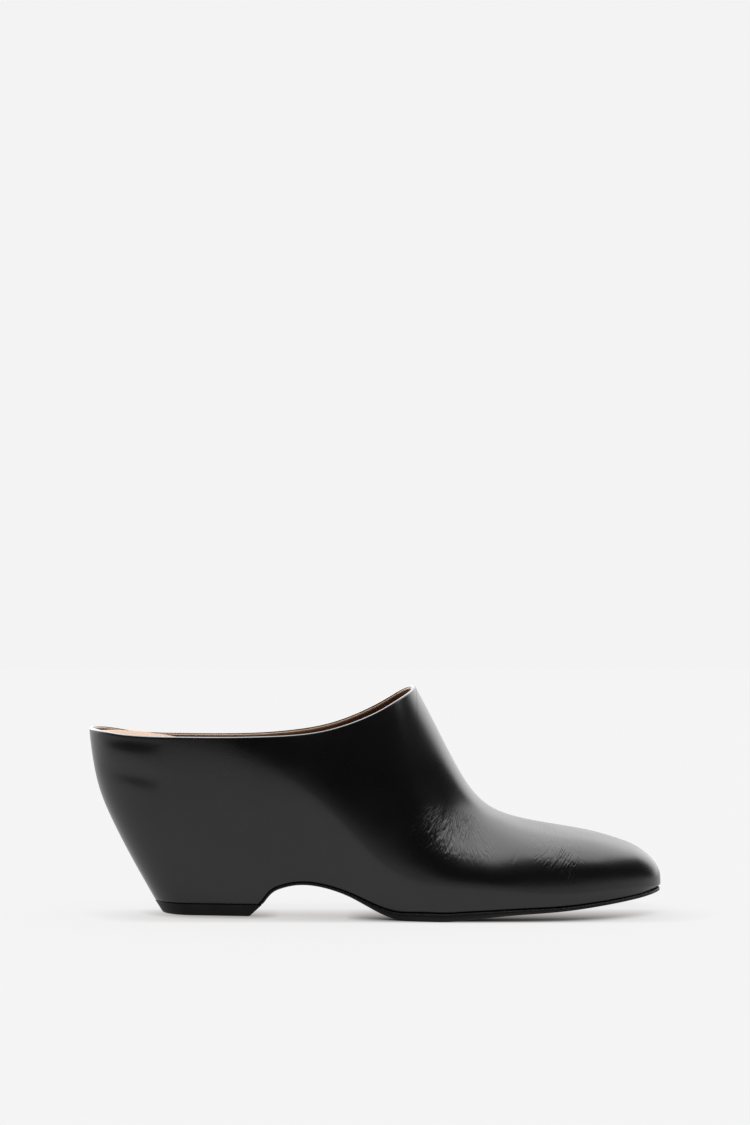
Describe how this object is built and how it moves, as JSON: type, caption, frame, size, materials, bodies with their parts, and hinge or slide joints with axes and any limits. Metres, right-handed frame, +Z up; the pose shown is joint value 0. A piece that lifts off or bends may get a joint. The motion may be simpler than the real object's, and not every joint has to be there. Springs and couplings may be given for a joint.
{
  "type": "mule shoe",
  "caption": "Smooth leather slip-on mule for the right foot, on a high leather-covered wedge with a cut-out arch, a thin sole and a small heel lift.",
  "frame": {"origin": "on the floor, below the middle of the shoe's box", "axes": "+X to the toe, +Y to the inner side of the foot, +Z up"},
  "size_m": [0.2486, 0.0823, 0.0972],
  "materials": {
    "upper_leather": "smooth black calf, satin, fine grain, creased at the vamp",
    "lining_leather": "brown lining leather, matt, with a pale raw edge at the collar",
    "insole_leather": "tan leather sock over thin padding, matt",
    "wedge_core": "plain core, covered all over",
    "sole_leather": "black sole with dressed edges, half matt",
    "lift_rubber": "black rubber lift, half matt"
  },
  "bodies": {
    "root": {"upper": "upper_leather", "insole": "insole_leather", "wedge_core": "wedge_core", "outsole": "sole_leather", "top_piece": "lift_rubber"}
  },
  "joints": []
}
